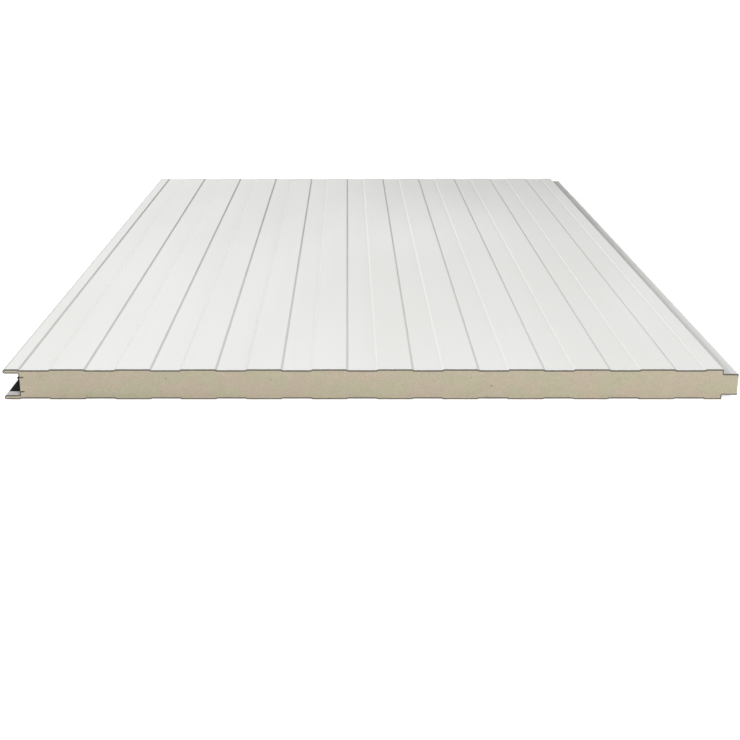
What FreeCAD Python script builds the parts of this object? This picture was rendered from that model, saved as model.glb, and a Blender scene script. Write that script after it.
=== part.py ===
import FreeCAD, Part

import math
import os

import Sketcher

"""Insulated sandwich panel: two roll-formed steel skins on a rigid foam core.

Frame: X across the width, Y along the length, Z up, origin in the middle of the underside.
The section runs from the grooved edge (low X) to the tongued edge (high X). Both skins have
the same section, so they are built by one function in a section frame whose x starts at the
tip of the groove's lip and whose z is the depth below the skin's own outer face. The outer
skin is the inner one turned over by half a turn about the X axis.
"""

SIZES = {
    "panel_length": 1800.0,
    "cover_width": 1150.0,
    "panel_thickness": 50.0,
    "skin_thickness": 0.6,
    "bend_radius": 1.0,
    "flute_count": 11,
    "flute_start": 25.6,
    "flute_width": 48.0,
    "flute_depth": 1.6,
    "flute_angle": 28.0,
    "lip_depth": 6.7,
    "groove_depth": 25.0,
    "groove_wall_depth": 13.7,
    "tab_length": 7.0,
    "joint_gap": 3.0,
    "joint_clearance": 0.9,
    "tongue_end_clearance": 2.4,
    "tongue_hook_height": 2.4,
    "seal_thickness": 2.2,
    "seal_recess": 1.2,
    "seal_margin": 0.4,
    "seal_bead_radius": 1.2,
    "tape_thickness": 0.8,
    "tape_wall_gap": 1.5,
    "tape_end_gap": 20.0,
}


class Size:
    """A number together with the expression that ties it to the sheet of sizes."""

    def __init__(self, value, text):
        self.value = value
        self.text = text

    def __add__(self, other):
        return Size(self.value + amount(other), f"({self.text} + {words(other)})")

    def __sub__(self, other):
        return Size(self.value - amount(other), f"({self.text} - {words(other)})")

    def __mul__(self, other):
        return Size(self.value * amount(other), f"({self.text} * {words(other)})")

    def __truediv__(self, other):
        return Size(self.value / amount(other), f"({self.text} / {words(other)})")


def amount(item):
    return item.value if isinstance(item, Size) else item


def words(item):
    return item.text if isinstance(item, Size) else repr(item)


def tangent_of(angle):
    """Tangent of an angle in degrees."""
    return Size(math.tan(math.radians(angle.value)), f"tan({angle.text})")


def make_sheet(document):
    """Writes the driving sizes into a spreadsheet, one aliased cell each."""
    sheet = document.addObject("Spreadsheet::Sheet", "Sizes")
    for row, (name, number) in enumerate(SIZES.items(), start=1):
        sheet.set(f"A{row}", name)
        sheet.set(f"B{row}", str(number))
        sheet.setAlias(f"B{row}", name)
    document.recompute()
    return {name: Size(number, f"Sizes.{name}") for name, number in SIZES.items()}


document = FreeCAD.newDocument("sandwich_panel")
size = make_sheet(document)

# Places worked out from the driving sizes, along the width (x) and in depth (z).
skin = size["skin_thickness"]
zero = skin * 0
shoulder = size["cover_width"] - size["joint_gap"]
seal_back = size["groove_depth"] + size["seal_recess"]
seal_face = seal_back - size["seal_thickness"]
total_width = size["cover_width"] + seal_face - size["tongue_end_clearance"]
tongue_depth = size["lip_depth"] + size["joint_clearance"]
tab_end = size["groove_depth"] + size["tab_length"]
flute_pitch = size["cover_width"] / size["flute_count"]
slope_run = size["flute_depth"] / tangent_of(size["flute_angle"])
slope_shift = skin * tangent_of(size["flute_angle"] / 2)
flute_left = size["flute_start"] - slope_run / 2
flute_right = size["flute_start"] + size["flute_width"] + slope_run / 2
hem_centre = size["lip_depth"] / 2


class Run:
    """A straight stretch of a section outline at one x or one z, and the bend that ends it.

    bend is the radius of the quarter bend to the next run, None for a sharp corner, or
    "hem" for the half-round fold that joins two level runs at the tip of a lip.
    """

    def __init__(self, axis, place, bend=None):
        self.axis = axis
        self.place = place
        self.bend = bend


def sheet_side(offset):
    """Runs of one side of a skin, from its tab to its hook, offset from the outer side."""
    convex = size["bend_radius"] + skin - offset
    concave = size["bend_radius"] + offset
    return [
        Run("z", size["groove_wall_depth"] - offset, convex),
        Run("x", size["groove_depth"] + offset, concave),
        Run("z", size["lip_depth"] - offset, "hem"),
        Run("z", offset, convex),
        Run("x", shoulder - offset, concave),
        Run("z", tongue_depth + offset, convex),
        Run("x", total_width - offset),
    ]


def turned_back(runs):
    """The same runs walked the other way, each bend kept between its two runs."""
    bends = [run.bend for run in runs[:-1]][::-1] + [None]
    return [Run(run.axis, run.place, bend) for run, bend in zip(runs[::-1], bends)]


def upside_down(runs):
    """Runs mirrored about the panel's middle plane."""
    return [
        Run(run.axis, size["panel_thickness"] - run.place, run.bend) if run.axis == "z" else run
        for run in runs
    ]


def new_sketch(body, name):
    """A sketch on the body's own XZ plane: sketch x along the width, sketch y along depth."""
    sketch = body.newObject("Sketcher::SketchObject", name)
    plane = [item for item in body.Origin.OriginFeatures if item.Role == "XZ_Plane"][0]
    sketch.AttachmentSupport = [(plane, "")]
    sketch.MapMode = "FlatFace"
    return sketch


def tie(sketch, kind, *items):
    """Adds a dimension whose last item is a Size and binds it to the sheet."""
    *where, length = items
    index = sketch.addConstraint(Sketcher.Constraint(kind, *where, length.value))
    sketch.setExpression(f"Constraints[{index}]", length.text)


def place_point(sketch, edge, end, axis, place):
    """Sets a point's x or y from the origin, or puts it on the axis where that is zero."""
    if place is zero:
        sketch.addConstraint(Sketcher.Constraint("PointOnObject", edge, end, -1 if axis == "z" else -2))
    else:
        tie(sketch, "DistanceX" if axis == "x" else "DistanceY", -1, 1, edge, end, place)


def draw_runs(sketch, runs):
    """Draws a closed outline of level and upright runs, each bend an arc tangent to both."""
    places = [run.place.value for run in runs]
    corners = []
    for run, place, following in zip(runs, places, places[1:] + places[:1]):
        if run.bend == "hem":
            corners.append(FreeCAD.Vector(hem_centre.value, (place + following) / 2))
        elif run.axis == "x":
            corners.append(FreeCAD.Vector(place, following))
        else:
            corners.append(FreeCAD.Vector(following, place))
    starts, ends = {}, {}
    for index, run in enumerate(runs):
        following = (index + 1) % len(runs)
        corner = corners[index]
        if run.bend == "hem":
            ends[index] = FreeCAD.Vector(corner.x, places[index])
            starts[following] = FreeCAD.Vector(corner.x, places[following])
        else:
            radius = run.bend.value if run.bend else 0.0
            ends[index] = step_towards(corner, corners[index - 1], radius)
            starts[following] = step_towards(corner, corners[following], radius)
    lines = []
    for index, run in enumerate(runs):
        line = sketch.addGeometry(Part.LineSegment(starts[index], ends[index]))
        sketch.addConstraint(Sketcher.Constraint("Vertical" if run.axis == "x" else "Horizontal", line))
        place_point(sketch, line, 1, run.axis, run.place)
        lines.append(line)
    for index, run in enumerate(runs):
        following = (index + 1) % len(runs)
        if run.bend is None:
            sketch.addConstraint(Sketcher.Constraint("Coincident", lines[index], 2, lines[following], 1))
        else:
            draw_bend(sketch, run.bend, lines[index], lines[following])


def step_towards(corner, target, length):
    """The point a given length from a corner, on the way to another point."""
    if length == 0.0:
        return corner
    return corner + (target - corner).normalize() * length


def draw_bend(sketch, bend, line, following):
    """Draws the tangent arc from the end of one line to the start of the next."""
    start, end = sketch.Geometry[line].EndPoint, sketch.Geometry[following].StartPoint
    ahead = start - sketch.Geometry[line].StartPoint
    across = end - start
    turns_left = ahead.x * across.y - ahead.y * across.x > 0
    if bend == "hem":
        centre = (start + end) / 2
    else:
        side = FreeCAD.Vector(-ahead.y, ahead.x).normalize() * bend.value
        centre = start + side if turns_left else start - side
    angles = [math.atan2(point.y - centre.y, point.x - centre.x) for point in (start, end)]
    if not turns_left:
        angles.reverse()
    circle = Part.Circle(centre, FreeCAD.Vector(0, 0, 1), (start - centre).Length)
    arc = sketch.addGeometry(Part.ArcOfCircle(circle, *angles))
    near, far = (1, 2) if turns_left else (2, 1)
    sketch.addConstraint(Sketcher.Constraint("Tangent", line, 2, arc, near))
    sketch.addConstraint(Sketcher.Constraint("Tangent", arc, far, following, 1))
    if bend == "hem":
        tie(sketch, "DistanceX", -1, 1, arc, 3, hem_centre)
    else:
        tie(sketch, "Radius", arc, bend)


def draw_trapezium(sketch, top, bottom, left, right, run):
    """Draws a flute's outline: level from left to right at top, narrower by run at bottom."""
    points = [(left, top), (left + run, bottom), (right - run, bottom), (right, top)]
    vectors = [FreeCAD.Vector(x.value, z.value) for x, z in points]
    edges = [
        sketch.addGeometry(Part.LineSegment(start, end))
        for start, end in zip(vectors, vectors[1:] + vectors[:1])
    ]
    for edge, following, (x, z) in zip(edges, edges[1:] + edges[:1], points):
        sketch.addConstraint(Sketcher.Constraint("Coincident", edge, 2, following, 1))
        place_point(sketch, edge, 1, "x", x)
        place_point(sketch, edge, 1, "z", z)


def extrude(body, kind, name, sketch, length=size["panel_length"]):
    """Pads or pockets a sketch along the panel, half of the length to each side of its plane."""
    feature = body.newObject(f"PartDesign::{kind}", name)
    feature.Profile = sketch
    feature.SideType = "Symmetric"
    feature.setExpression("Length", length.text)
    return feature


def repeat_flutes(body, name, sketch, features):
    """Repeats a flute's features across the panel, one for each pitch."""
    pattern = body.newObject("PartDesign::LinearPattern", name)
    pattern.Originals = features
    pattern.Direction = (sketch, ["H_Axis"])
    pattern.Mode = "Spacing"
    pattern.setExpression("Offset", flute_pitch.text)
    pattern.setExpression("Occurrences", size["flute_count"].text)
    body.Tip = pattern


def new_body(name):
    """A body whose section frame is moved so that the panel is centred across its width."""
    body = document.addObject("PartDesign::Body", name)
    body.Label = name
    body.setExpression("Placement.Base.x", f"-{(total_width / 2).text}")
    return body


def make_skin(name):
    """A roll-formed skin: lip, groove wall and tab, fluted face, shoulder, tongue and hook."""
    body = new_body(name)
    section = new_sketch(body, f"{name}_section")
    hook_tip = Run("z", tongue_depth + size["tongue_hook_height"])
    tab_tip = Run("x", tab_end)
    draw_runs(section, sheet_side(zero) + [hook_tip] + turned_back(sheet_side(skin)) + [tab_tip])
    extrude(body, "Pad", f"{name}_sheet", section)

    pan_section = new_sketch(body, f"{name}_pan_section")
    draw_pan(pan_section)
    pan = extrude(body, "Pad", f"{name}_pan", pan_section)

    flute_section = new_sketch(body, f"{name}_flute_section")
    draw_trapezium(flute_section, zero, size["flute_depth"], flute_left, flute_right, slope_run)
    flute = extrude(body, "Pocket", f"{name}_flute", flute_section)
    repeat_flutes(body, f"{name}_flutes", section, [pan, flute])
    return body


def draw_pan(sketch, turned=False):
    """Draws the foam side of a flute, one sheet thickness deeper than the flute itself."""
    top, bottom = skin, size["flute_depth"] + skin
    if turned:
        top, bottom = size["panel_thickness"] - top, size["panel_thickness"] - bottom
    draw_trapezium(sketch, top, bottom, flute_left - slope_shift, flute_right + slope_shift, slope_run)


def make_outer_skin():
    """The upper skin: the skin's section turned over onto the panel's top."""
    body = make_skin("outer_skin")
    body.Placement.Rotation = FreeCAD.Rotation(FreeCAD.Vector(1, 0, 0), 180)
    body.setExpression("Placement.Base.z", size["panel_thickness"].text)


def make_foam_core():
    """The foam that fills the space between the skins, into both lips and the tongue."""
    body = new_body("foam_core")
    section = new_sketch(body, "foam_section")
    lower = sheet_side(skin)
    lower[-1].bend = size["bend_radius"]
    wall_top = size["panel_thickness"] - size["groove_wall_depth"]
    groove_face = [
        Run("x", tab_end),
        Run("z", wall_top),
        Run("x", seal_back),
        Run("z", size["groove_wall_depth"]),
        Run("x", tab_end),
    ]
    draw_runs(section, lower + turned_back(upside_down(lower))[1:] + groove_face)
    extrude(body, "Pad", "foam_block", section)
    for face, turned in (("lower", False), ("upper", True)):
        pan_section = new_sketch(body, f"foam_{face}_pan_section")
        draw_pan(pan_section, turned)
        pan = extrude(body, "Pocket", f"foam_{face}_pan", pan_section)
        repeat_flutes(body, f"foam_{face}_pans", section, [pan])


def make_seal_strip():
    """The gasket let into the groove's wall between the tabs, with a round bead at its top."""
    body = new_body("seal_strip")
    section = new_sketch(body, "seal_section")
    bottom = size["groove_wall_depth"] + size["seal_margin"]
    top = size["panel_thickness"] - bottom
    sides = [Run("x", seal_back), Run("z", top), Run("x", seal_face), Run("z", bottom)]
    draw_runs(section, sides)
    extrude(body, "Pad", "seal_strip_flat", section)
    bead_section = new_sketch(body, "seal_bead_section")
    radius = size["seal_bead_radius"]
    bead_x = size["groove_depth"] - radius
    centre = FreeCAD.Vector(bead_x.value, top.value)
    bead = bead_section.addGeometry(Part.Circle(centre, FreeCAD.Vector(0, 0, 1), radius.value))
    place_point(bead_section, bead, 3, "x", bead_x)
    place_point(bead_section, bead, 3, "z", top)
    tie(bead_section, "Radius", bead, radius)
    extrude(body, "Pad", "seal_bead", bead_section)


def make_lip_tape():
    """The sealing tape on the lower lip's upper side, from the hem to the groove's wall."""
    body = new_body("lip_tape")
    section = new_sketch(body, "tape_section")
    sides = [
        Run("z", size["lip_depth"]),
        Run("x", size["groove_depth"] - size["tape_wall_gap"]),
        Run("z", size["lip_depth"] + size["tape_thickness"]),
        Run("x", hem_centre),
    ]
    draw_runs(section, sides)
    extrude(body, "Pad", "tape_strip", section, size["panel_length"] - size["tape_end_gap"] * 2)


def check_document():
    """Stops the build where a feature failed, a sketch is loose or a piece isn't one solid."""
    for item in document.Objects:
        if "Invalid" in item.State or "Error" in item.State:
            raise RuntimeError(f"{item.Name} failed: {item.State}")
        if item.TypeId == "Sketcher::SketchObject" and not item.FullyConstrained:
            raise RuntimeError(f"{item.Name} is not fully constrained")
    for body in bodies():
        if body.Shape.isNull() or not body.Shape.isValid() or len(body.Shape.Solids) != 1:
            raise RuntimeError(f"{body.Label} is not one valid solid")


def bodies():
    return [item for item in document.Objects if item.TypeId == "PartDesign::Body"]


make_skin("inner_skin")
make_outer_skin()
make_foam_core()
make_seal_strip()
make_lip_tape()
document.recompute()
check_document()

os.makedirs("parts", exist_ok=True)
for body in bodies():
    body.Shape.exportStep(f"parts/{body.Label}.step")
    box = body.Shape.BoundBox
    print(f"{body.Label}: {body.Shape.Volume / 1000:.1f} cm3,",
          f"x {box.XMin:.2f}..{box.XMax:.2f}, y {box.YMin:.2f}..{box.YMax:.2f},",
          f"z {box.ZMin:.2f}..{box.ZMax:.2f}")
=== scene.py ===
import math

import bmesh
import bpy
import numpy as np
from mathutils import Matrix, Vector
from mathutils.geometry import delaunay_2d_cdt


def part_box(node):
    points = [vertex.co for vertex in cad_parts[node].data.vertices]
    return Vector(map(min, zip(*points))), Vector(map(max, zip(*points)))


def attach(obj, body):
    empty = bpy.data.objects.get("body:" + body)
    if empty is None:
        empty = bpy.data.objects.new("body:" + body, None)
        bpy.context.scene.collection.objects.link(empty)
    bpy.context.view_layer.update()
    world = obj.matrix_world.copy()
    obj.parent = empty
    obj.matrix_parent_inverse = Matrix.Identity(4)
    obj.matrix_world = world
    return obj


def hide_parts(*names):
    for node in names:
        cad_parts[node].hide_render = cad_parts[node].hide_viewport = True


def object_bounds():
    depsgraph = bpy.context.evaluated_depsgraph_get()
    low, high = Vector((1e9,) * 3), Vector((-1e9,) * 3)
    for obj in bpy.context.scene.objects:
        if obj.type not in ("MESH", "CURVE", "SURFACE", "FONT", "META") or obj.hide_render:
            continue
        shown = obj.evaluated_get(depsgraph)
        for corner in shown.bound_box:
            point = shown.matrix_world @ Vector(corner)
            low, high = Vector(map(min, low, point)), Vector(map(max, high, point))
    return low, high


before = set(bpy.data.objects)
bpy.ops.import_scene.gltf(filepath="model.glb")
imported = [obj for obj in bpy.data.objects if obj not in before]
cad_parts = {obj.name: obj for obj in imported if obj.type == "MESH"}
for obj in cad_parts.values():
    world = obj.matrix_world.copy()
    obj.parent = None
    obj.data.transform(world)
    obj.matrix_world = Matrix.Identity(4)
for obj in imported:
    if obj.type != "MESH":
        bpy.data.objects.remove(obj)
cad_low, cad_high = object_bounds()

# ---------------------------------------------------------------- sizes, in metres
MM = 0.001
LENGTH = cad_high.y - cad_low.y
WIDTH = cad_high.x - cad_low.x
THICKNESS = cad_high.z - cad_low.z
NEAR_END, FAR_END = cad_low.y, cad_high.y

# The sheet's gauge, and the inner radius of its bends.
SHEET = 0.6 * MM
BEND = 1.0 * MM

# The section: places across are counted from the lips' tips, depths from a skin's outer face.
# The cover width ends at the next panel's lips, which the shoulder and the tongue stay clear of.
COVER_WIDTH = 1150 * MM
SHOULDER_GAP = 3 * MM
JOINT_GAP = 0.9 * MM
LIP = 6.7 * MM
GROOVE = 25 * MM
GROOVE_WALL = 13.7 * MM
TAB = 7 * MM
SHOULDER = COVER_WIDTH - SHOULDER_GAP
TONGUE_STEP = LIP + JOINT_GAP
HOOK = 2.4 * MM

# A flute starts and ends at the middle of a slope.
FLUTES = 11
FLUTE_START = 25.6 * MM
FLUTE_WIDTH = 48 * MM
FLUTE_DEPTH = 1.6 * MM
FLUTE_ANGLE = math.radians(28)
FLUTE_BEND = 1.4 * MM
FLUTE_PITCH = COVER_WIDTH / FLUTES
FLUTE_RUN = FLUTE_DEPTH / math.tan(FLUTE_ANGLE)

# The wall seal: its thickness, how far its back stands behind the skins, its bead's radius.
SEAL = 2.2 * MM
SEAL_RECESS = 1.2 * MM
BEAD = 1.2 * MM
# The lip tape: its tapers' length, and the share of one by which its ends stop short of a point.
TAPE_TAPER = 5 * MM
TAPE_STUB = 0.3

# Steps in a bend, extra points this far inside each straight, and the angle of a sharp edge.
ARC_STEPS = 6
STRAIGHT_INSET = 0.3 * MM
SHARP_ANGLE = math.radians(40)
# Outline points nearer than the first, or mesh points nearer than the second, are one point.
SAME_POINT = 1e-7
MERGE = 2e-6
# The foam's cut ends: grid of points, line of points beside the steel, depth of the saw's marks
# and the cells of their random field along X and Z.
FOAM_CELL = 2.2 * MM
FOAM_RIM = 1.4 * MM
SAW_RELIEF = 0.35 * MM
RELIEF_GRID = (800, 48)


# ---------------------------------------------------------------- section outlines
def left_of(ways):
    """Unit vectors turned a quarter turn to the left."""
    return np.stack([-ways[..., 1], ways[..., 0]], axis=-1)


def rounded_path(corners, radii):
    """Points along a bent path, and the unit normal to the left of it at each.

    An inner corner is cut back by radius * tan(turn / 2) on both sides, and the arc between
    the cuts is start + into * radius * sin(a) + side * radius * (1 - cos(a)) for a from 0 to
    turn. Each straight gets two more points close to its bends, so that flats shade flat.
    """
    corners, radii = np.asarray(corners), np.asarray(radii)
    steps = np.diff(corners, axis=0)
    ways = steps / np.linalg.norm(steps, axis=1, keepdims=True)
    into, out = ways[:-1], ways[1:]
    cross = into[:, 0] * out[:, 1] - into[:, 1] * out[:, 0]
    turn = np.arctan2(np.abs(cross), (into * out).sum(axis=1))
    side = np.sign(cross)[:, None] * left_of(into)
    angle = (turn[:, None] * np.linspace(0, 1, ARC_STEPS + 1))[..., None]
    start = corners[1:-1] - into * (radii * np.tan(turn / 2))[:, None]
    radius = radii[:, None, None]
    arcs = start[:, None] + into[:, None] * radius * np.sin(angle)
    arcs = arcs + side[:, None] * radius * (1 - np.cos(angle))
    arc_ways = into[:, None] * np.cos(angle) + side[:, None] * np.sin(angle)

    begin = np.vstack([corners[:1], arcs[:, -1]])
    end = np.vstack([arcs[:, 0], corners[-1:]])
    room = np.linalg.norm(end - begin, axis=1, keepdims=True)
    inset = np.minimum(STRAIGHT_INSET, room / 3) * ways
    straights = np.stack([begin + inset, end - inset], axis=1)
    straight_ways = np.repeat(ways[:, None], 2, axis=1)

    points = np.concatenate([straights[:-1], arcs], axis=1).reshape(-1, 2)
    point_ways = np.concatenate([straight_ways[:-1], arc_ways], axis=1).reshape(-1, 2)
    points = np.vstack([corners[:1], points, straights[-1], corners[-1:]])
    point_ways = np.vstack([ways[:1], point_ways, straight_ways[-1], ways[-1:]])
    gaps = np.linalg.norm(np.diff(points, axis=0, prepend=points[:1] - 1), axis=1)
    apart = gaps > SAME_POINT
    return points[apart], left_of(point_ways[apart])


def skin_path():
    """Middle line of a skin from its tab round the lip and over the flutes to its hook.

    x starts at the lip's tip and z is the depth below the skin's outer face, so every corner
    is the outer corner moved in by half a sheet.
    """
    half = SHEET / 2
    shift = half * math.tan(FLUTE_ANGLE / 2)
    low = FLUTE_START - FLUTE_RUN / 2 - shift
    high = FLUTE_START + FLUTE_WIDTH + FLUTE_RUN / 2 + shift
    flute_x = np.array([low, low + FLUTE_RUN, high - FLUTE_RUN, high])
    flute_z = np.array([half, FLUTE_DEPTH + half, FLUTE_DEPTH + half, half])
    starts = np.arange(FLUTES) * COVER_WIDTH / FLUTES
    flutes = np.stack([flute_x + starts[:, None], np.tile(flute_z, (FLUTES, 1))], axis=-1)
    groove = [
        (GROOVE + TAB, GROOVE_WALL - half),
        (GROOVE + half, GROOVE_WALL - half),
        (GROOVE + half, LIP - half),
        (half, LIP - half),
        (half, half),
    ]
    tongue = [
        (SHOULDER - half, half),
        (SHOULDER - half, TONGUE_STEP + half),
        (WIDTH - half, TONGUE_STEP + half),
        (WIDTH - half, TONGUE_STEP + HOOK),
    ]
    corners = np.vstack([groove, flutes.reshape(-1, 2), tongue])
    bend, hem = BEND + half, LIP / 2 - half
    radii = np.array([bend, bend, hem, hem] + [FLUTE_BEND] * (4 * FLUTES) + [bend] * 3)
    return rounded_path(corners, radii)


def in_panel(outline, upper):
    """Turns section points into panel points (x, z), mirrored in depth for the upper skin."""
    x, depth = outline[:, 0] + cad_low.x, outline[:, 1]
    return np.stack([x, cad_high.z - depth if upper else depth + cad_low.z], axis=1)


def foam_outline():
    """Outline of the foam, and the stretches of it that touch each skin, in panel points.

    The tongue's open face is a straight line between the skins' hooks, with points closer
    together near the steel than in its middle.
    """
    path, normals = skin_path()
    lower = in_panel(path + normals * SHEET / 2, False)
    upper = in_panel(path + normals * SHEET / 2, True)
    near = np.array([0.02, 0.04, 0.07, 0.12, 0.25])
    shares = np.concatenate([near, [0.5], 1 - near[::-1]])[:, None]
    tongue_face = lower[-1] * (1 - shares) + upper[-1] * shares
    tab_end, back = cad_low.x + GROOVE + TAB, cad_low.x + GROOVE + SEAL_RECESS
    low, high = cad_low.z + GROOVE_WALL, cad_high.z - GROOVE_WALL
    groove_face = np.array([(tab_end, high), (back, high), (back, low), (tab_end, low)])
    return np.vstack([lower, tongue_face, upper[::-1], groove_face]), lower, upper


def seal_outline():
    """Outline of the wall seal: a flat strip whose front turns into a round bead on top.

    The bead is centre + BEAD * (cos(a), sin(a)) for a from minus reach to minus a full turn,
    where reach is the angle at which it meets the strip's face.
    """
    low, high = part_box("seal_strip")
    back = cad_low.x + GROOVE + SEAL_RECESS
    face = back - SEAL
    bottom, top = low.z, high.z - BEAD
    centre_x = low.x + BEAD
    reach = math.acos((face - centre_x) / BEAD)
    angles = np.linspace(-reach, -2 * math.pi, 25)
    bead = np.stack([centre_x + BEAD * np.cos(angles), top + BEAD * np.sin(angles)], axis=1)
    return np.vstack([[(back, bottom), (face, bottom)], bead, [(back, top)]])


def tape_outline():
    """Outline of the lip tape: flat below, its upper edges rounded by a third of its height."""
    low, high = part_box("lip_tape")
    soft = (high.z - low.z) / 3
    corners = [(low.x, low.z), (low.x, high.z), (high.x, high.z), (high.x, low.z)]
    return rounded_path(corners, np.array([soft, soft]))[0]


# ---------------------------------------------------------------- meshes
def end_spaced(low, high, count, margin):
    """Stations along Y: even ones between the margins, and closer ones inside each margin."""
    shares = np.array([0, 0.15, 0.4, 1])
    near, far = low + margin * shares, high - margin * shares[::-1]
    return np.concatenate([near, np.linspace(low + margin, high - margin, count)[1:-1], far])


def carried_along(outline, stations):
    """Carries a closed outline (x, z) along Y: point (i, j) is outline j at station i.

    Returns the points and the quads round the outline between neighbouring stations.
    """
    count, rows = len(outline), len(stations)
    points = np.empty((rows, count, 3))
    points[:, :, [0, 2]] = outline
    points[:, :, 1] = np.asarray(stations)[:, None]
    here = np.arange(rows * count).reshape(rows, count)
    after = np.roll(here, -1, axis=1)
    quads = np.stack([here[:-1], after[:-1], after[1:], here[1:]], axis=-1)
    return points.reshape(-1, 3), quads.reshape(-1, 4)


def signed_volume(points, quads):
    """Six times the volume inside the quads, positive where they face outwards."""
    a, b, c, d = (points[quads[:, k]] for k in range(4))
    return (np.cross(a, b) * c).sum() + (np.cross(a, c) * d).sum()


def new_mesh(name, points, faces):
    """A mesh from an array of points and a list of faces."""
    mesh = bpy.data.meshes.new(name)
    mesh.from_pydata(points.tolist(), [], faces)
    return mesh


def close_shell(mesh):
    """Merges points that meet and turns every face outwards."""
    shell = bmesh.new()
    shell.from_mesh(mesh)
    bmesh.ops.remove_doubles(shell, verts=shell.verts, dist=MERGE)
    bmesh.ops.recalc_face_normals(shell, faces=shell.faces)
    shell.to_mesh(mesh)
    shell.free()


def make_object(name, mesh, materials, indices=None):
    """A smooth object with sharp edges over SHARP_ANGLE from a finished mesh."""
    for material in materials:
        mesh.materials.append(material)
    if indices is not None:
        mesh.polygons.foreach_set("material_index", indices)
    mesh.polygons.foreach_set("use_smooth", np.ones(len(mesh.polygons), bool))
    mesh.set_sharp_from_angle(angle=SHARP_ANGLE)
    mesh.update()
    piece = bpy.data.objects.new(name, mesh)
    bpy.context.scene.collection.objects.link(piece)
    return piece


def make_skin(name, upper, materials):
    """A skin: its middle line thickened by half a sheet to each side, carried along Y.

    The outline runs out on the outer side and back on the foam side, so point k faces point
    -1 - k across the sheet and the cut ends close with one quad for each step.
    """
    path, normals = skin_path()
    outer, inner = path - normals * SHEET / 2, path + normals * SHEET / 2
    outline = in_panel(np.vstack([outer, inner[::-1]]), upper)
    stations = end_spaced(NEAR_END, FAR_END, count=30, margin=4 * MM)
    points, sides = carried_along(outline, stations)
    step = np.arange(len(path) - 1)
    across = len(outline) - 1 - step
    near_cut = np.stack([step, across, across - 1, step + 1], axis=1)
    far_cut = near_cut[:, ::-1] + len(points) - len(outline)
    quads = np.vstack([sides, near_cut, far_cut])
    if signed_volume(points, quads) < 0:
        quads = quads[:, ::-1]
    indices = np.zeros(len(quads), np.int32)
    indices[len(sides):] = 1
    return make_object(name, new_mesh(name, points, quads.tolist()), materials, indices)


def smooth_noise(generator, shape, widths):
    """Random field on a grid, smoothed over the given widths in cells, from -1 to 1.

    Each frequency f is weakened by exp(-falloff * (f * width) ** 2).
    """
    falloff = 5
    field = np.fft.rfft2(generator.normal(size=shape))
    rows = np.fft.fftfreq(shape[0])[:, None] * widths[0]
    columns = np.fft.rfftfreq(shape[1])[None] * widths[1]
    field = np.fft.irfft2(field * np.exp(-(rows**2 + columns**2) * falloff), shape)
    return field / np.abs(field).max()


def distance_to(points, path):
    """Distance from each point to the nearest stretch of a path of straight steps."""
    start, step = path[:-1], np.diff(path, axis=0)
    offset = points[:, None] - start
    along = (offset * step).sum(axis=2) / (step**2).sum(axis=1)
    nearest = offset - step * np.clip(along, 0, 1)[..., None]
    return np.sqrt((nearest**2).sum(axis=2).min(axis=1))


def steel_distance(points, lower, upper):
    """Distance from each point to the nearer of the foam's two stretches along the skins."""
    return np.minimum(distance_to(points, lower), distance_to(points, upper))


def is_inside(points, ring):
    """True where an even-odd count of crossings puts a point inside a ring."""
    after = np.roll(ring, -1, axis=0)
    height = points[:, 1, None]
    spans = (ring[:, 1] > height) != (after[:, 1] > height)
    rise = np.where(after[:, 1] == ring[:, 1], 1, after[:, 1] - ring[:, 1])
    crossing = ring[:, 0] + (height - ring[:, 1]) / rise * (after[:, 0] - ring[:, 0])
    return (spans & (points[:, 0, None] < crossing)).sum(axis=1) % 2 == 1


def foam_end(ring, seed):
    """Triangles over the foam's cut end, with the saw's relief at each point.

    Points on a jittered grid and on a line one foam rim in from the steel fill the ring, apart
    from those nearer to it than spare. Relief is SAW_RELIEF times 0.6 plus 0.4 times a fine and
    a broad random field, never below 0, and it grows from none at the ring to full two cells
    inside it.
    """
    jitter, spare = 0.3, 0.8 * FOAM_RIM
    fine, broad = (3, 2), (24, 6)
    generator = np.random.default_rng(seed)
    low, high = ring.min(axis=0), ring.max(axis=0)
    counts = np.ceil((high - low) / FOAM_CELL).astype(int)
    grid = np.stack(np.meshgrid(*(np.arange(n) + 0.5 for n in counts), indexing="ij"), axis=-1)
    grid = low + (grid + generator.uniform(-jitter, jitter, grid.shape)) * FOAM_CELL
    path, normals = skin_path()
    inset = path + normals * (SHEET / 2 + FOAM_RIM)
    inner = np.vstack([grid.reshape(-1, 2), in_panel(inset, False), in_panel(inset, True)])
    closed = np.vstack([ring, ring[:1]])
    inner = inner[is_inside(inner, ring)]
    inner = inner[distance_to(inner, closed) > spare]
    flat = np.vstack([ring, inner])
    edges = [(k, (k + 1) % len(ring)) for k in range(len(ring))]
    made = delaunay_2d_cdt([Vector(p) for p in flat], edges, [], 1, SAME_POINT)
    flat, triangles = np.array([tuple(p) for p in made[0]]), np.array(made[2])
    waves = smooth_noise(generator, RELIEF_GRID, fine)
    waves = waves + smooth_noise(generator, RELIEF_GRID, broad)
    place = ((flat - low) / (high - low) * (np.array(RELIEF_GRID) - 1)).astype(int)
    relief = np.clip(0.6 + 0.4 * waves[place[:, 0], place[:, 1]], 0, None)
    relief = relief * np.clip(distance_to(flat, closed) / (2 * FOAM_CELL), 0, 1)
    return flat, triangles, relief * SAW_RELIEF


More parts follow.
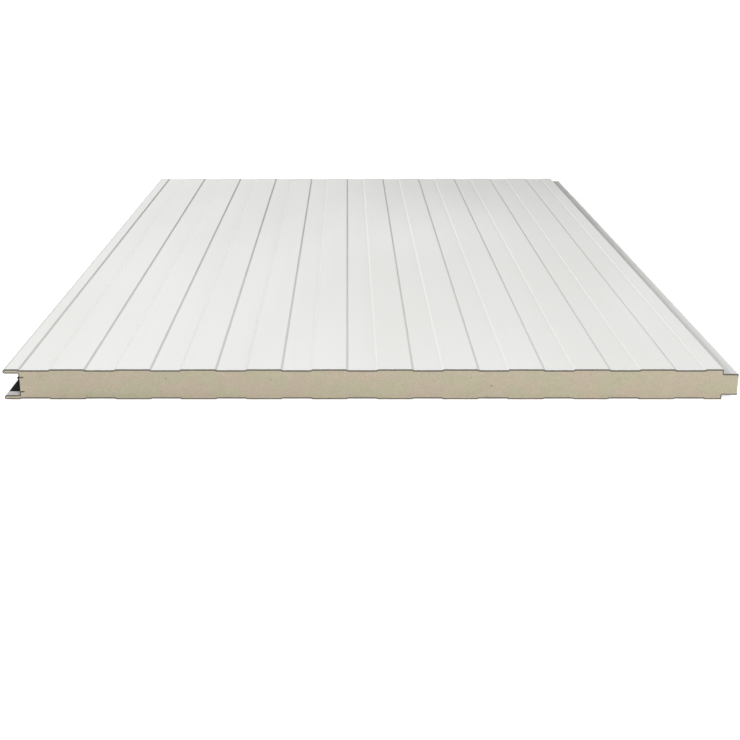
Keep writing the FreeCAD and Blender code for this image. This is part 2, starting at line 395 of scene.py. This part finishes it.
def make_foam(name, materials):
    """The foam: its outline carried along Y, closed by two sawn ends.

    Its attribute from_steel holds each point's distance to the nearer skin.
    """
    ring, lower, upper = foam_outline()
    stations = end_spaced(NEAR_END, FAR_END, count=24, margin=6 * MM)
    points, sides = carried_along(ring, stations)
    parts, faces = [points], sides.tolist()
    steel = [np.tile(steel_distance(ring, lower, upper), len(stations))]
    total = len(points)
    for end, inward, seed in ((NEAR_END, 1, 3), (FAR_END, -1, 4)):
        flat, triangles, relief = foam_end(ring, seed)
        parts.append(np.stack([flat[:, 0], end + inward * relief, flat[:, 1]], axis=1))
        faces += (triangles + total).tolist()
        steel.append(steel_distance(flat, lower, upper))
        total += len(flat)
    mesh = new_mesh(name, np.vstack(parts), faces)
    attribute = mesh.attributes.new("from_steel", "FLOAT", "POINT")
    attribute.data.foreach_set("value", np.concatenate(steel))
    close_shell(mesh)
    return make_object(name, mesh, materials)


def make_strip(name, outline, stations, material, lift=None):
    """A solid strip: a closed outline carried along Y, its ends closed by one face each.

    lift, one number for each station, scales the outline's height above its lowest point.
    """
    points, sides = carried_along(outline, stations)
    if lift is not None:
        base = outline[:, 1].min()
        heights = points[:, 2].reshape(len(stations), -1)
        points[:, 2] = (base + (heights - base) * lift[:, None]).ravel()
    count = len(outline)
    ends = [list(range(count)), list(range(len(points) - count, len(points)))]
    mesh = new_mesh(name, points, sides.tolist() + ends)
    close_shell(mesh)
    return make_object(name, mesh, [material])


def tape_lift(stations):
    """Share of the tape's full height at each station.

    It is (stub + distance from the nearer end / taper) / (1 + stub), and 1 past the taper.
    """
    from_end = np.minimum(stations - stations[0], stations[-1] - stations)
    return np.minimum((TAPE_STUB + from_end / TAPE_TAPER) / (1 + TAPE_STUB), 1)


# ---------------------------------------------------------------- shader helpers
def feed(tree, socket, value):
    """Links a value that is a socket to the socket, or writes a plain value into it."""
    if isinstance(value, bpy.types.NodeSocket):
        tree.links.new(value, socket)
    else:
        socket.default_value = value


def node(tree, kind, **values):
    """Adds a node; a value sets the property of that name, or else the input socket."""
    made = tree.nodes.new(kind)
    for name, value in values.items():
        if hasattr(made, name):
            setattr(made, name, value)
        else:
            feed(tree, made.inputs[name.replace("_", " ")], value)
    return made


def math_node(tree, operation, *values):
    """The result of a Math node on one or two sockets or numbers."""
    made = node(tree, "ShaderNodeMath", operation=operation)
    for socket, value in zip(made.inputs, values):
        feed(tree, socket, value)
    return made.outputs[0]


def add(tree, first, second):
    """The sum of two values."""
    return math_node(tree, "ADD", first, second)


def subtract(tree, first, second):
    """The first value less the second."""
    return math_node(tree, "SUBTRACT", first, second)


def multiply(tree, first, second):
    """The product of two values."""
    return math_node(tree, "MULTIPLY", first, second)


def blend_numbers(tree, amount, first, second):
    """Goes from the first value to the second as the amount goes from 0 to 1."""
    return add(tree, first, multiply(tree, amount, subtract(tree, second, first)))


def between(tree, value, low, high, bottom=0.0, top=1.0):
    """Maps a value from low..high smoothly onto bottom..top; low may be the larger number."""
    made = node(tree, "ShaderNodeMapRange", interpolation_type="SMOOTHSTEP", Value=value,
                From_Min=low, From_Max=high, To_Min=bottom, To_Max=top)
    return made.outputs[0]


def mix_colour(tree, amount, first, second):
    """Mixes two colours, each a socket or an RGB triple, by an amount from 0 to 1."""
    made = node(tree, "ShaderNodeMix", data_type="RGBA")
    for name, value in (("Factor_Float", amount), ("A_Color", first), ("B_Color", second)):
        socket = next(s for s in made.inputs if s.identifier == name)
        feed(tree, socket, (*value, 1.0) if isinstance(value, tuple) else value)
    return next(s for s in made.outputs if s.identifier == "Result_Color")


def object_place(tree, scale=(1, 1, 1), shift=(0, 0, 0)):
    """Object coordinates, stretched by a scale and shifted."""
    place = node(tree, "ShaderNodeTexCoord").outputs["Object"]
    return node(tree, "ShaderNodeMapping", Vector=place, Scale=scale, Location=shift).outputs[0]


def object_axes(tree):
    """Object coordinates as three values, X, Y and Z."""
    return node(tree, "ShaderNodeSeparateXYZ", Vector=object_place(tree)).outputs


def noise(tree, place, scale, detail, roughness=0.5):
    """The value of a noise texture with a size given by scale in cells for each metre."""
    made = node(tree, "ShaderNodeTexNoise", Vector=place, Scale=scale, Detail=detail,
                Roughness=roughness)
    return made.outputs["Fac"]


def wandering(tree, scale, reach):
    """Object coordinates shifted by soft noise that varies by about the reach each way.

    The noise's own colour strays about a quarter from its middle, hence the factor of 4.
    """
    shift = node(tree, "ShaderNodeTexNoise", Vector=object_place(tree), Scale=scale, Detail=2.0)
    moved = node(tree, "ShaderNodeVectorMath", operation="MULTIPLY_ADD")
    parts = (shift.outputs["Color"], (4 * reach,) * 3, object_place(tree))
    for socket, value in zip(moved.inputs, parts):
        feed(tree, socket, value)
    return moved.outputs[0]


def cell_distance(tree, place, scale):
    """Distance to the nearest cell's point, in cell widths, with scale cells for each metre."""
    return node(tree, "ShaderNodeTexVoronoi", Vector=place, Scale=scale).outputs["Distance"]


def bump(tree, height, distance, strength, under=None):
    """A bump of the given height in metres, laid over another normal."""
    made = node(tree, "ShaderNodeBump", Height=height, Distance=distance, Strength=strength)
    if under is not None:
        tree.links.new(under, made.inputs["Normal"])
    return made.outputs[0]


def seen_ray(tree):
    """1 for what the eye sees, straight, in gloss or through clear parts, and 0 for lighting."""
    path = node(tree, "ShaderNodeLightPath").outputs
    seen = math_node(tree, "MAXIMUM", path["Is Camera Ray"], path["Is Glossy Ray"])
    return math_node(tree, "MAXIMUM", seen, path["Is Transmission Ray"])


def new_material(name, **settings):
    """A material with a Principled BSDF whose plain sockets hold the settings."""
    material = bpy.data.materials.new(name)
    material.use_nodes = True
    shader = material.node_tree.nodes["Principled BSDF"]
    for socket, value in settings.items():
        shader.inputs[socket.replace("_", " ")].default_value = value
    return material, material.node_tree, shader


# ---------------------------------------------------------------- shared effects
# Where along X the painted shade on the rising slopes changes, and how far in from the lips'
# tips the dark band on the lips is full and ends.
RISING_TURN = (-0.20, 0.05)
RIM_FULL, RIM_END = 3.0 * MM, 4.6 * MM


def mask_group(name, inputs):
    """An empty shader node group with float inputs {name: default} and the output Mask.

    Returns the group, the sockets inside it that carry its inputs, and its Mask socket.
    """
    tree = bpy.data.node_groups.new(name, "ShaderNodeTree")
    for socket, default in inputs.items():
        made = tree.interface.new_socket(socket, in_out="INPUT", socket_type="NodeSocketFloat")
        made.default_value = default
    tree.interface.new_socket("Mask", in_out="OUTPUT", socket_type="NodeSocketFloat")
    inside = tree.nodes.new("NodeGroupInput").outputs
    return tree, inside, tree.nodes.new("NodeGroupOutput").inputs["Mask"]


def make_dark_cut_rim():
    """Mask of a dark rim along both cut ends, 1 at the cut and 0 a ragged width inside it.

    The width is Width times 1 plus or minus about Raggedness, and never under 0.1 mm. The mask
    stays at 1 over its first 0.4.
    """
    tree, inside, mask = mask_group("dark_cut_rim", {"Width": 2 * MM, "Raggedness": 0.5})
    from_end = subtract(tree, LENGTH / 2, math_node(tree, "ABSOLUTE", object_axes(tree)["Y"]))
    ragged = subtract(tree, noise(tree, object_place(tree), scale=260, detail=3), 0.5)
    ragged = multiply(tree, ragged, multiply(tree, inside["Raggedness"], 4))
    width = multiply(tree, inside["Width"], add(tree, 1, ragged))
    share = math_node(tree, "DIVIDE", from_end, math_node(tree, "MAXIMUM", width, 0.1 * MM))
    tree.links.new(between(tree, share, 1.0, 0.4), mask)
    return tree


def make_dust():
    """Mask of thin dust: broad soft patches, thinned to 0.4 between fine specks."""
    tree, inside, mask = mask_group("dust", {"Patch Scale": 4.0, "Amount": 0.3})
    patches = noise(tree, object_place(tree), inside["Patch Scale"], detail=4, roughness=0.6)
    specks = between(tree, noise(tree, object_place(tree), scale=700, detail=2), 0.4, 0.75)
    broken = add(tree, multiply(tree, specks, 0.6), 0.4)
    both = multiply(tree, between(tree, patches, 0.35, 0.7), broken)
    tree.links.new(multiply(tree, both, inside["Amount"]), mask)
    return tree


def make_grain():
    """Fine even grain of a surface, flattened along Z by a factor."""
    tree, inside, mask = mask_group("grain", {"Scale": 1000.0, "Flatten": 1.0})
    stretch = node(tree, "ShaderNodeCombineXYZ", X=1.0, Y=1.0, Z=inside["Flatten"]).outputs[0]
    tree.links.new(noise(tree, object_place(tree, stretch), inside["Scale"], detail=3), mask)
    return tree


def make_flute_shade_and_grime():
    """Mask of painted shade, partly thin grime, on the slopes of the flutes.

    With d the distance across the panel from the middle of the nearest recess, a slope's middle
    lies at d = FLUTE_WIDTH / 2. The mask is 1 over the slope and fades within Reach beside it.
    From left to right, each recess starts with a falling slope, which faces away from the key
    lamp and whose painted shade goes from Near to Far along the panel, and ends with a rising
    one, whose painted shade goes from Left to Right across the part of the panel between
    RISING_TURN's two places. Noise from -0.5 to 0.5 times Raggedness makes it patchy.
    """
    tree, inside, mask = mask_group("flute_shade_and_grime", {
        "Reach": 1 * MM, "Raggedness": 0.4, "Falling Near": 1.0, "Falling Far": 1.0,
        "Rising Left": 1.0, "Rising Right": 1.0,
    })
    axes = object_axes(tree)
    edge = -WIDTH / 2 + FLUTE_START + (FLUTE_WIDTH - FLUTE_PITCH) / 2
    share = math_node(tree, "DIVIDE", subtract(tree, axes["X"], edge), FLUTE_PITCH)
    from_side = multiply(tree, math_node(tree, "FRACT", share), FLUTE_PITCH)
    from_middle = subtract(tree, from_side, FLUTE_PITCH / 2)
    d = math_node(tree, "ABSOLUTE", from_middle)
    from_slope = math_node(tree, "ABSOLUTE", subtract(tree, d, FLUTE_WIDTH / 2))
    beside = subtract(tree, from_slope, FLUTE_RUN / 2)
    near = between(tree, math_node(tree, "DIVIDE", beside, inside["Reach"]), 1, 0)
    ragged = noise(tree, object_place(tree, (1, 0.12, 1)), scale=90, detail=4, roughness=0.6)
    ragged = multiply(tree, subtract(tree, ragged, 0.5), inside["Raggedness"])
    falling = blend_numbers(tree, between(tree, axes["Y"], NEAR_END, FAR_END),
                            inside["Falling Near"], inside["Falling Far"])
    rising = blend_numbers(tree, between(tree, axes["X"], *RISING_TURN),
                           inside["Rising Left"], inside["Rising Right"])
    is_rising = math_node(tree, "GREATER_THAN", from_middle, 0)
    near = multiply(tree, near, blend_numbers(tree, is_rising, falling, rising))
    tree.links.new(multiply(tree, near, add(tree, 1, ragged)), mask)
    return tree


def make_joint_shade_and_rim():
    """Mask of painted shade inside the joint: under the upper lip in the groove, and the
    shoulder's painted shadow on the tongue. It also holds a dark band along the lips' tips.

    Every coated face nearer to half the thickness than the lips' inner sides belongs to the
    groove or to the tongue, whose weight runs from Tongue Near to Tongue Far along the panel.
    The mask is full 0.5 mm past those sides and ends 2.5 mm past them. The dark band is full
    from the lips' tips to 3.0 mm in and ends 4.6 mm in. Soft clouds vary both.
    """
    tree, inside, mask = mask_group("joint_shade_and_rim", {
        "Groove": 0.5, "Tongue Near": 0.3, "Tongue Far": 0.6, "Rim": 0.5,
    })
    axes = object_axes(tree)
    from_middle = math_node(tree, "ABSOLUTE", subtract(tree, axes["Z"], THICKNESS / 2))
    within = THICKNESS / 2 - LIP
    joint = between(tree, from_middle, within + 2.5 * MM, within + 0.5 * MM)
    right = math_node(tree, "GREATER_THAN", axes["X"], 0)
    along = between(tree, axes["Y"], NEAR_END, FAR_END)
    tongue = blend_numbers(tree, along, inside["Tongue Near"], inside["Tongue Far"])
    weight = blend_numbers(tree, right, inside["Groove"], tongue)
    clouds = noise(tree, object_place(tree, (1, 0.3, 1)), scale=60, detail=3, roughness=0.6)
    clouds = between(tree, clouds, 0.2, 0.8, bottom=0.75, top=1.1)
    joint = multiply(tree, multiply(tree, joint, weight), clouds)
    tips = -WIDTH / 2
    rim = between(tree, axes["X"], tips + RIM_END, tips + RIM_FULL)
    rim = multiply(tree, multiply(tree, rim, inside["Rim"]), clouds)
    tree.links.new(math_node(tree, "MAXIMUM", joint, rim), mask)
    return tree


def grouped(tree, group, **values):
    """Places a shared effect in a material with its own values."""
    made = node(tree, "ShaderNodeGroup", node_tree=group)
    for name, value in values.items():
        made.inputs[name.replace("_", " ")].default_value = value
    return made.outputs["Mask"]


dark_cut_rim = make_dark_cut_rim()
dust = make_dust()
grain = make_grain()
flute_shade_and_grime = make_flute_shade_and_grime()
joint_shade_and_rim = make_joint_shade_and_rim()


# ---------------------------------------------------------------- materials
# Colours are linear red, green and blue.
WHITE, WHITE_SHADE = (0.805, 0.808, 0.788), (0.775, 0.777, 0.755)
# Painted shade on the flutes' slopes, partly grime.
SLOPE_SHADE_AND_GRIME = (0.36, 0.35, 0.33)
# Painted shade in the joint, and the dark band along the lips' tips.
JOINT_SHADE_AND_RIM = (0.33, 0.325, 0.31)
COATING_DUST = (0.62, 0.60, 0.55)
# Painted shade towards the far right corner.
CORNER_SHADE = (0.42, 0.415, 0.40)
# A dark rim along the cut ends.
CUT_RIM_DARK = (0.22, 0.215, 0.20)
STEEL_DARK, STEEL_PALE = (0.016, 0.015, 0.013), (0.045, 0.042, 0.037)
FOAM_PINKISH, FOAM_GREENISH = (0.473, 0.400, 0.310), (0.436, 0.415, 0.291)
FOAM_CLOUD = (0.504, 0.456, 0.348)
FOAM_DASH, FOAM_STROKE = (0.58, 0.53, 0.42), (0.30, 0.26, 0.18)
# Painted shade in the foam's cell hollows and pinholes, and painted light on the cell walls.
CELL_HOLLOW_SHADE, CELL_WALL_LIT = (0.27, 0.22, 0.15), (0.62, 0.57, 0.45)
PINHOLE_SHADE = (0.17, 0.14, 0.09)
DENSE_FOAM = (0.50, 0.46, 0.36)
BOND = (0.10, 0.083, 0.06)
FOAM_DUST = (0.52, 0.48, 0.40)
RUBBER, RUBBER_DUST = (0.005, 0.005, 0.006), (0.06, 0.057, 0.05)
FLOOR_TONES = (0.90, 0.90, 0.90), (0.92, 0.92, 0.92)

# Where the far right corner's painted shade begins and is full, along X and along Y.
SHADE_ACROSS, SHADE_ALONG = (-0.45, 0.60), (0.00, 1.05)
# How far from the steel the foam's dense layer and its bond line end and are full.
DENSE_LAYER, BOND_LINE = (3.3 * MM, 1.5 * MM), (1.7 * MM, 1.1 * MM)


def make_coating(name):
    """Coil coating: satin white, with orange peel, faint rolling streaks and tonal drift.

    Painted shade, partly grime, lies on the flutes' slopes; painted shade lies in the groove,
    the shoulder's painted shadow on the tongue, and a dark band along the lips' tips. Dust lies
    over it, the coating is painted darker towards the far right corner as shade, and dark rims
    run along the cut ends.
    """
    material, tree, shader = new_material(name, Specular_IOR_Level=0.25)
    drift = noise(tree, object_place(tree, (1.6, 0.5, 1)), scale=2.2, detail=3)
    streaks = noise(tree, object_place(tree, (70, 1.3, 1)), scale=1, detail=3)
    tone = mix_colour(tree, between(tree, drift, 0.3, 0.7), WHITE, WHITE_SHADE)
    tone = mix_colour(tree, between(tree, streaks, 0.45, 0.9, top=0.5), tone, WHITE_SHADE)
    # Painted shade on the flutes' slopes, partly grime, darkest on the slopes turned from the
    # key lamp.
    shade_mask = grouped(tree, flute_shade_and_grime, Reach=0.8 * MM, Raggedness=0.6, Falling_Near=0.37,
                    Falling_Far=0.95, Rising_Left=0.36, Rising_Right=0.16)
    tone = mix_colour(tree, shade_mask, tone, SLOPE_SHADE_AND_GRIME)
    # Painted shade in the groove, the shoulder's painted shadow on the tongue, and a dark band
    # along the lips' tips.
    shade_mask = grouped(tree, joint_shade_and_rim, Groove=0.85, Tongue_Near=0.24, Tongue_Far=0.88, Rim=0.9)
    tone = mix_colour(tree, shade_mask, tone, JOINT_SHADE_AND_RIM)
    dusty = grouped(tree, dust, Patch_Scale=3.0, Amount=0.06)
    tone = mix_colour(tree, dusty, tone, COATING_DUST)
    axes = object_axes(tree)
    # Painted shade: the coating darkens towards the far right corner.
    corner = multiply(tree, between(tree, axes["X"], *SHADE_ACROSS),
                      between(tree, axes["Y"], *SHADE_ALONG))
    tone = mix_colour(tree, multiply(tree, corner, 0.38), tone, CORNER_SHADE)
    # A dark rim along both cut ends.
    cut_rim = grouped(tree, dark_cut_rim, Width=3.8 * MM, Raggedness=0.35)
    tone = mix_colour(tree, cut_rim, tone, CUT_RIM_DARK)
    rough = add(tree, drift, multiply(tree, streaks, 0.5))
    rough = between(tree, rough, 0.5, 1.0, bottom=0.40, top=0.50)
    waves = noise(tree, object_place(tree, (14, 3, 14)), scale=1, detail=2)
    peel = grouped(tree, grain, Scale=420, Flatten=1)
    normal = bump(tree, waves, 0.25 * MM, strength=0.25)
    normal = bump(tree, peel, 0.02 * MM, strength=0.35, under=normal)
    tree.links.new(tone, shader.inputs["Base Color"])
    tree.links.new(rough, shader.inputs["Roughness"])
    tree.links.new(normal, shader.inputs["Normal"])
    return material


def make_cut_steel():
    """Sheared edge of the sheet: dull dark steel with torn streaks along it."""
    material, tree, shader = new_material("cut_steel", Metallic=0.4, Specular_IOR_Level=0.3)
    torn = grouped(tree, grain, Scale=900, Flatten=3)
    tone = mix_colour(tree, between(tree, torn, 0.35, 0.65), STEEL_DARK, STEEL_PALE)
    rough = between(tree, torn, 0.3, 0.7, bottom=0.45, top=0.65)
    tree.links.new(tone, shader.inputs["Base Color"])
    tree.links.new(rough, shader.inputs["Roughness"])
    tree.links.new(bump(tree, torn, 0.05 * MM, strength=0.5), shader.inputs["Normal"])
    return material


def make_foam_material():
    """Rigid foam: fine cells, pinkish and greenish drift, pale dashes, dark strokes, pinholes;
    painted shade in the cells' hollows and pinholes, and painted light on the cell walls.

    A dark bond line runs along the steel and a dense paler layer lies next to it.
    """
    material, tree, shader = new_material("rigid_foam", Roughness=0.9, Specular_IOR_Level=0.15)
    drift = noise(tree, object_place(tree, (1, 1, 1.6)), scale=22, detail=3)
    tone = mix_colour(tree, between(tree, drift, 0.38, 0.62), FOAM_PINKISH, FOAM_GREENISH)
    clouds = noise(tree, object_place(tree, (1, 1, 2.2), (3, 1, 2)), 60, detail=4, roughness=0.6)
    tone = mix_colour(tree, between(tree, clouds, 0.4, 0.75, top=0.5), tone, FOAM_CLOUD)
    dashes = noise(tree, object_place(tree, (70, 20, 420), (1, 5, 2)), scale=1, detail=2)
    tone = mix_colour(tree, between(tree, dashes, 0.70, 0.78, top=0.55), tone, FOAM_DASH)
    strokes = noise(tree, object_place(tree, (60, 20, 500), (7, 1, 9)), scale=1, detail=2)
    tone = mix_colour(tree, between(tree, strokes, 0.72, 0.80, top=0.35), tone, FOAM_STROKE)

    cells = cell_distance(tree, wandering(tree, scale=900, reach=0.5 * MM), scale=800)
    # Painted shade in the cells' hollows and painted light on their walls.
    tone = mix_colour(tree, between(tree, cells, 0.45, 0.10, top=0.30), tone, CELL_HOLLOW_SHADE)
    tone = mix_colour(tree, between(tree, cells, 0.55, 0.85, top=0.35), tone, CELL_WALL_LIT)
    holes = cell_distance(tree, wandering(tree, scale=260, reach=3 * MM), scale=110)
    size = noise(tree, object_place(tree, shift=(2, 2, 2)), scale=70, detail=3)
    size = between(tree, size, 0.46, 0.66, top=0.17)
    pinhole = between(tree, subtract(tree, size, holes), 0, 0.05)
    # Painted shade: each pinhole is darkened as the shade inside it.
    tone = mix_colour(tree, multiply(tree, pinhole, 0.8), tone, PINHOLE_SHADE)

    steel = node(tree, "ShaderNodeAttribute", attribute_name="from_steel").outputs["Fac"]
    dense = multiply(tree, between(tree, steel, *DENSE_LAYER), 0.5)
    tone = mix_colour(tree, dense, tone, DENSE_FOAM)
    tone = mix_colour(tree, between(tree, steel, *BOND_LINE, top=0.85), tone, BOND)
    dusty = grouped(tree, dust, Patch_Scale=20.0, Amount=0.12)
    tone = mix_colour(tree, dusty, tone, FOAM_DUST)

    saw = noise(tree, object_place(tree, (25, 25, 900)), scale=1, detail=2)
    normal = bump(tree, saw, 0.15 * MM, strength=0.4)
    normal = bump(tree, cells, 0.4 * MM, strength=0.7, under=normal)
    normal = bump(tree, subtract(tree, 1, pinhole), 0.8 * MM, strength=0.8, under=normal)
    tree.links.new(tone, shader.inputs["Base Color"])
    tree.links.new(normal, shader.inputs["Normal"])
    return material


def make_rubber():
    """Soft black seal: matt, finely grained, with a little dust."""
    material, tree, shader = new_material("black_seal", Specular_IOR_Level=0.12)
    pores = grouped(tree, grain, Scale=1100, Flatten=1)
    dusty = grouped(tree, dust, Patch_Scale=40.0, Amount=0.10)
    tone = mix_colour(tree, dusty, RUBBER, RUBBER_DUST)
    rough = between(tree, pores, 0.3, 0.7, bottom=0.7, top=0.9)
    tree.links.new(tone, shader.inputs["Base Color"])
    tree.links.new(rough, shader.inputs["Roughness"])
    tree.links.new(bump(tree, pores, 0.12 * MM, strength=0.5), shader.inputs["Normal"])
    return material


# ---------------------------------------------------------------- camera, light and floor
# Camera: tilt in degrees below level, lens and sensor in millimetres.
CAMERA_PLACE = (-0.0372, NEAR_END - 1.9031, 0.6763)
CAMERA_TILT = 18.231
CAMERA_LENS = 61.359
CAMERA_SENSOR = 36
CAMERA_SHIFT = 0.03054
CAMERA_CLIP_END = 200

# The world's strength as light, where 1 is white, and the share of each lamp that gloss sees.
AMBIENT = 0.18
SHEEN_SHARE = 0.1
# The floor's half width, and its added white from GLOW_START to GLOW_FULL metres out.
FLOOR_REACH = 30.0
FLOOR_GLOW = 0.55
GLOW_START, GLOW_FULL = 1.2, 5.0


def make_camera():
    """Looks along the panel from past its near end, a little left of its middle."""
    camera = bpy.data.objects.new("camera", bpy.data.cameras.new("camera"))
    bpy.context.scene.collection.objects.link(camera)
    camera.location = CAMERA_PLACE
    camera.rotation_euler = (math.radians(90 - CAMERA_TILT), 0, 0)
    camera.data.sensor_width = CAMERA_SENSOR
    camera.data.lens = CAMERA_LENS
    camera.data.shift_x = CAMERA_SHIFT
    camera.data.clip_end = CAMERA_CLIP_END
    bpy.context.scene.camera = camera


def make_lamp(name, place, aim, size, power):
    """A square area lamp at a place, turned to face a point.

    It is made as two lamps in one place, of which gloss sees only the weaker, so that a low view
    against the light keeps the panel's white below the brightest tone.
    """
    for part, share, glossy in (("soft", 1 - SHEEN_SHARE, False), ("sheen", SHEEN_SHARE, True)):
        lamp = bpy.data.lights.new(f"{name}_{part}", "AREA")
        lamp.shape = "SQUARE"
        lamp.size = size
        lamp.energy = power * share
        piece = bpy.data.objects.new(lamp.name, lamp)
        bpy.context.scene.collection.objects.link(piece)
        piece.location = place
        piece.rotation_euler = (Vector(aim) - Vector(place)).to_track_quat("-Z", "Y").to_euler()
        piece.visible_glossy = glossy


def make_world():
    """Even ambient light; the eye, gloss and clear parts see plain white."""
    world = bpy.data.worlds.new("studio")
    bpy.context.scene.world = world
    world.use_nodes = True
    tree = world.node_tree
    background = tree.nodes["Background"]
    strength = add(tree, AMBIENT, multiply(tree, seen_ray(tree), 1 - AMBIENT))
    tree.links.new(strength, background.inputs["Strength"])
    background.inputs["Color"].default_value = (1, 1, 1, 1)


def make_floor_material():
    """Pale floor: diffuse, so that it holds a shadow, with white added to what is seen.

    The added white is FLOOR_GLOW up to GLOW_START metres from the panel's middle and rises to
    1 at GLOW_FULL.
    """
    material = bpy.data.materials.new("pale_floor")
    material.use_nodes = True
    tree = material.node_tree
    tree.nodes.clear()
    place = object_place(tree)
    tone = between(tree, noise(tree, place, scale=2, detail=3), 0.3, 0.7)
    diffuse = node(tree, "ShaderNodeBsdfDiffuse", Color=mix_colour(tree, tone, *FLOOR_TONES))
    away = node(tree, "ShaderNodeVectorMath", operation="LENGTH", Vector=place).outputs["Value"]
    added = between(tree, away, GLOW_START, GLOW_FULL, bottom=FLOOR_GLOW)
    glow = node(tree, "ShaderNodeEmission", Strength=multiply(tree, seen_ray(tree), added))
    both = node(tree, "ShaderNodeAddShader")
    tree.links.new(diffuse.outputs[0], both.inputs[0])
    tree.links.new(glow.outputs[0], both.inputs[1])
    output = node(tree, "ShaderNodeOutputMaterial")
    tree.links.new(both.outputs[0], output.inputs["Surface"])
    return material


def make_floor():
    """A large level plane that the panel lies on."""
    corners = np.array([(-1, -1, 0), (1, -1, 0), (1, 1, 0), (-1, 1, 0)])
    mesh = new_mesh("floor", corners * FLOOR_REACH, [(0, 1, 2, 3)])
    make_object("floor", mesh, [make_floor_material()])


bpy.context.scene.view_settings.view_transform = "Standard"
make_camera()
make_world()
make_floor()
make_lamp("key", place=(-6.5, 1.0, 3.4), aim=(0, 0, 0), size=2.2, power=512)
make_lamp("front", place=(1.6, -4.8, 3.0), aim=(0.3, -0.6, 0), size=2.2, power=222)
make_lamp("fill", place=(5.5, 4.0, 0.6), aim=(0, 0, 0), size=1.0, power=200)

# ---------------------------------------------------------------- the panel's pieces
outer_coating = make_coating("outer_coating")
inner_coating = make_coating("inner_coating")
cut_steel = make_cut_steel()
rubber = make_rubber()

outer_skin = make_skin("outer_sheet", True, [outer_coating, cut_steel])
inner_skin = make_skin("inner_sheet", False, [inner_coating, cut_steel])
foam = make_foam("foam", [make_foam_material()])
seal_stations = end_spaced(NEAR_END, FAR_END, count=20, margin=4 * MM)
seal = make_strip("wall_seal", seal_outline(), seal_stations, rubber)
tape_low, tape_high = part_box("lip_tape")
tape_stations = end_spaced(tape_low.y, tape_high.y, count=20, margin=TAPE_TAPER)
tape = make_strip("lip_seal", tape_outline(), tape_stations, rubber, tape_lift(tape_stations))

for piece, cad_node, slot in (
    (outer_skin, "outer_skin", "outer_coating"),
    (inner_skin, "inner_skin", "inner_coating"),
    (foam, "foam_core", "foam"),
    (seal, "seal_strip", "seal"),
    (tape, "lip_tape", "seal"),
):
    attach(piece, "root")
    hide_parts(cad_node)
